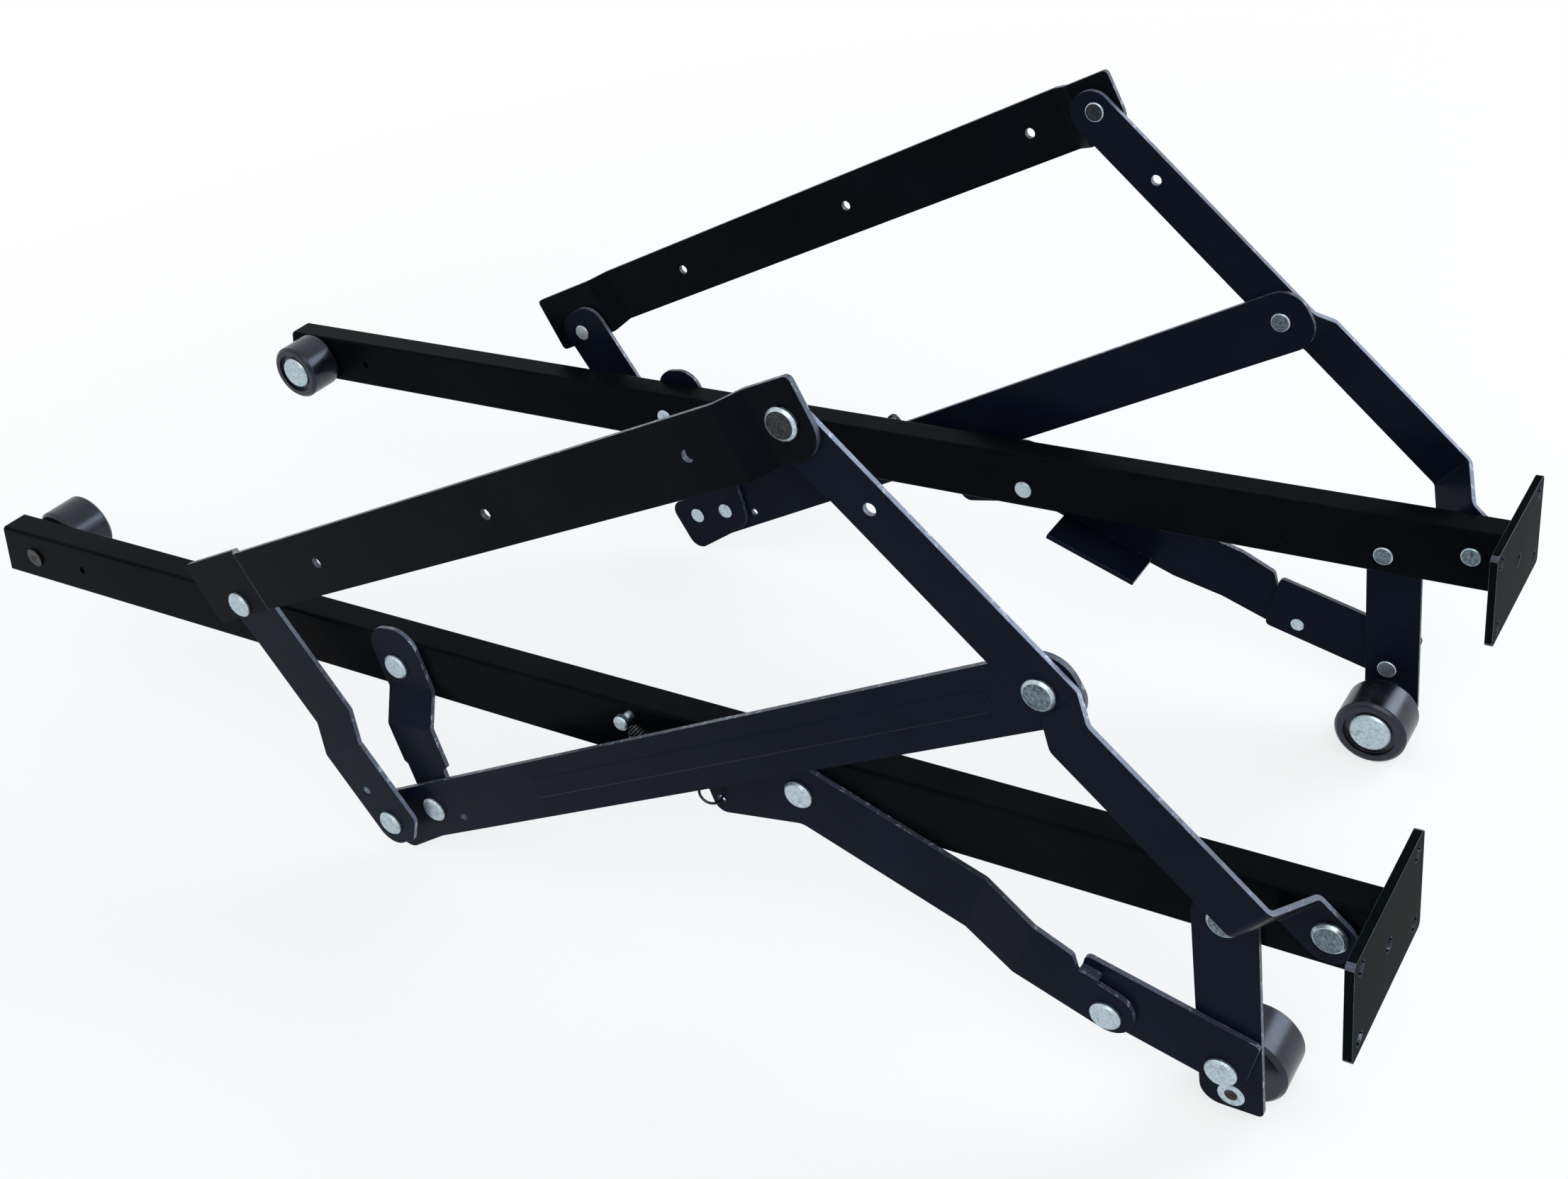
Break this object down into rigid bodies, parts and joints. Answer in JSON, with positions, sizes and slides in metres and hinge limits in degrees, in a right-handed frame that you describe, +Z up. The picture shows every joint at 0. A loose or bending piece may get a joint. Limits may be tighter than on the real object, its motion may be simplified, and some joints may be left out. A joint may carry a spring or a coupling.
{
  "type": "bed frame hinge",
  "caption": "Left and right lift mechanisms for a folding bed frame: rail with bolted end plate, five-bar lift linkage, folding caster leg and end roller.",
  "frame": {"origin": "centre of the right end plate's bolt pattern, on the plate's outer face", "axes": "+X out of the end plates, away from the rails; +Z up; the right unit's outer side faces -Y"},
  "size_m": [0.9465, 0.387, 0.3722],
  "materials": {
    "painted_rail": "gloss",
    "painted_strap": "gloss",
    "plate_paint": "gloss",
    "weld": "gloss",
    "zinc": "zinc plated",
    "roller_plastic": "satin",
    "spring_steel": "satin"
  },
  "bodies": {
    "rail_frames": {"right_rail": "painted_rail", "right_end_plate": "plate_paint", "right_weld_beads": "weld", "right_rail_rivets": "zinc", "right_rail_axle": "zinc", "right_rail_spacer": "zinc", "right_spring_pin": "zinc", "right_leg_spring": "spring_steel", "left_rail": "painted_rail", "left_end_plate": "plate_paint", "left_weld_beads": "weld", "left_rail_rivets": "zinc", "left_rail_axle": "zinc", "left_rail_spacer": "zinc", "left_spring_pin": "zinc", "left_leg_spring": "spring_steel"},
    "right_rail_roller_body": {"right_rail_roller": "roller_plastic"},
    "right_arm_body": {"right_lift_arm": "painted_strap", "right_arm_rivets": "zinc"},
    "right_swing_body": {"right_swing_link": "painted_strap", "right_swing_rivet_tail": "zinc"},
    "right_main_body": {"right_main_link": "painted_strap", "right_swing_rivet_head": "zinc", "right_connector_rivet": "zinc", "right_connector_spacer": "zinc"},
    "right_connector_body": {"right_connector_link": "painted_strap", "right_bar_rivet_tail": "zinc"},
    "right_bar_body": {"right_support_bar": "painted_strap", "right_bar_rivet_head": "zinc"},
    "right_brace_body": {"right_leg_brace": "painted_strap", "right_knuckle_rivet_head": "zinc"},
    "right_knuckle_body": {"right_knuckle_link": "painted_strap", "right_knuckle_rivet_end": "zinc"},
    "right_leg_body": {"right_leg": "painted_strap", "right_leg_rivet": "zinc", "right_leg_axle": "zinc", "right_leg_spacer": "zinc"},
    "right_leg_roller_body": {"right_leg_roller": "roller_plastic"},
    "left_rail_roller_body": {"left_rail_roller": "roller_plastic"},
    "left_arm_body": {"left_lift_arm": "painted_strap", "left_arm_rivets": "zinc"},
    "left_swing_body": {"left_swing_link": "painted_strap", "left_swing_rivet_tail": "zinc"},
    "left_main_body": {"left_main_link": "painted_strap", "left_swing_rivet_head": "zinc", "left_connector_rivet": "zinc", "left_connector_spacer": "zinc"},
    "left_connector_body": {"left_connector_link": "painted_strap", "left_bar_rivet_tail": "zinc"},
    "left_bar_body": {"left_support_bar": "painted_strap", "left_bar_rivet_head": "zinc"},
    "left_brace_body": {"left_leg_brace": "painted_strap", "left_knuckle_rivet_head": "zinc"},
    "left_knuckle_body": {"left_knuckle_link": "painted_strap", "left_knuckle_rivet_end": "zinc"},
    "left_leg_body": {"left_leg": "painted_strap", "left_leg_rivet": "zinc", "left_leg_axle": "zinc", "left_leg_spacer": "zinc"},
    "left_leg_roller_body": {"left_leg_roller": "roller_plastic"}
  },
  "joints": [
    {"name": "right_arm_hinge", "type": "hinge", "parent": "rail_frames", "child": "right_arm_body", "pos_m": [-0.021, -0.0065, 0.005], "axis": [0, -1, 0], "range_deg": [0, 41.5]},
    {"name": "right_main_link_hinge", "type": "hinge", "parent": "right_arm_body", "child": "right_main_body", "pos_m": [-0.13555, -0.0065, 0.11], "axis": [0, -1, 0], "range_deg": [-59.51, 0.02]},
    {"name": "right_swing_hinge", "type": "hinge", "parent": "rail_frames", "child": "right_swing_body", "pos_m": [-0.551, -0.0065, 0.0032], "axis": [0, -1, 0], "range_deg": [-58.47, 0.02]},
    {"name": "right_support_bar_hinge", "type": "hinge", "parent": "right_arm_body", "child": "right_bar_body", "pos_m": [-0.23925, -0.0065, 0.21948], "axis": [0, -1, 0], "range_deg": [-68.78, 0.02]},
    {"name": "right_connector_hinge", "type": "hinge", "parent": "right_main_body", "child": "right_connector_body", "pos_m": [-0.56771, -0.0065, -0.09696], "axis": [0, -1, 0], "range_deg": [-0.02, 38.6]},
    {"name": "right_leg_hinge", "type": "hinge", "parent": "rail_frames", "child": "right_leg_body", "pos_m": [-0.0666, -0.0065, -0.0041], "axis": [0, -1, 0], "range_deg": [-60, 0]},
    {"name": "right_brace_hinge", "type": "hinge", "parent": "rail_frames", "child": "right_brace_body", "pos_m": [-0.28233, -0.0065, -0.0031], "axis": [0, -1, 0], "range_deg": [-0.02, 23.7], "deforming": ["right_leg_spring"]},
    {"name": "right_knuckle_hinge", "type": "hinge", "parent": "right_leg_body", "child": "right_knuckle_body", "pos_m": [-0.06816, -0.0065, -0.09323], "axis": [0, -1, 0], "range_deg": [-58.38, 0.02]},
    {"name": "right_leg_roller_spin", "type": "hinge", "parent": "right_leg_body", "child": "right_leg_roller_body", "pos_m": [-0.06529, -0.0065, -0.11109], "axis": [0, -1, 0], "continuous": true},
    {"name": "right_rail_roller_spin", "type": "hinge", "parent": "rail_frames", "child": "right_rail_roller_body", "pos_m": [-0.8835, -0.0065, 0.0022], "axis": [0, -1, 0], "continuous": true},
    {"name": "left_arm_hinge", "type": "hinge", "parent": "rail_frames", "child": "left_arm_body", "pos_m": [-0.0475, 0.3045, 0.005], "axis": [0, -1, 0], "range_deg": [0, 41.5]},
    {"name": "left_main_link_hinge", "type": "hinge", "parent": "left_arm_body", "child": "left_main_body", "pos_m": [-0.16205, 0.3045, 0.11], "axis": [0, -1, 0], "range_deg": [-59.51, 0.02]},
    {"name": "left_swing_hinge", "type": "hinge", "parent": "rail_frames", "child": "left_swing_body", "pos_m": [-0.5775, 0.3045, 0.0032], "axis": [0, -1, 0], "range_deg": [-58.47, 0.02]},
    {"name": "left_support_bar_hinge", "type": "hinge", "parent": "left_arm_body", "child": "left_bar_body", "pos_m": [-0.26576, 0.3045, 0.21948], "axis": [0, -1, 0], "range_deg": [-68.78, 0.02]},
    {"name": "left_connector_hinge", "type": "hinge", "parent": "left_main_body", "child": "left_connector_body", "pos_m": [-0.59421, 0.3045, -0.09696], "axis": [0, -1, 0], "range_deg": [-0.02, 38.6]},
    {"name": "left_leg_hinge", "type": "hinge", "parent": "rail_frames", "child": "left_leg_body", "pos_m": [-0.0931, 0.3045, -0.0041], "axis": [0, -1, 0], "range_deg": [-60, 0]},
    {"name": "left_brace_hinge", "type": "hinge", "parent": "rail_frames", "child": "left_brace_body", "pos_m": [-0.30883, 0.3045, -0.0031], "axis": [0, -1, 0], "range_deg": [-0.02, 23.7], "deforming": ["left_leg_spring"]},
    {"name": "left_knuckle_hinge", "type": "hinge", "parent": "left_leg_body", "child": "left_knuckle_body", "pos_m": [-0.09466, 0.3045, -0.09323], "axis": [0, -1, 0], "range_deg": [-58.38, 0.02]},
    {"name": "left_leg_roller_spin", "type": "hinge", "parent": "left_leg_body", "child": "left_leg_roller_body", "pos_m": [-0.09179, 0.3045, -0.11109], "axis": [0, -1, 0], "continuous": true},
    {"name": "left_rail_roller_spin", "type": "hinge", "parent": "rail_frames", "child": "left_rail_roller_body", "pos_m": [-0.91, 0.3045, 0.0022], "axis": [0, -1, 0], "continuous": true}
  ],
  "couplings": [
    {"joint": "right_main_link_hinge", "follows": "right_arm_hinge", "ratio": -1.4336},
    {"joint": "right_swing_hinge", "follows": "right_arm_hinge", "ratio": -1.4085},
    {"joint": "right_support_bar_hinge", "follows": "right_arm_hinge", "ratio": -1.6569},
    {"joint": "right_connector_hinge", "follows": "right_arm_hinge", "ratio": 0.92969},
    {"joint": "right_brace_hinge", "follows": "right_leg_hinge", "ratio": -0.39464},
    {"joint": "right_knuckle_hinge", "follows": "right_leg_hinge", "ratio": 0.97269},
    {"joint": "left_main_link_hinge", "follows": "left_arm_hinge", "ratio": -1.4336},
    {"joint": "left_swing_hinge", "follows": "left_arm_hinge", "ratio": -1.4085},
    {"joint": "left_support_bar_hinge", "follows": "left_arm_hinge", "ratio": -1.6569},
    {"joint": "left_connector_hinge", "follows": "left_arm_hinge", "ratio": 0.92969},
    {"joint": "left_brace_hinge", "follows": "left_leg_hinge", "ratio": -0.39464},
    {"joint": "left_knuckle_hinge", "follows": "left_leg_hinge", "ratio": 0.97269}
  ]
}
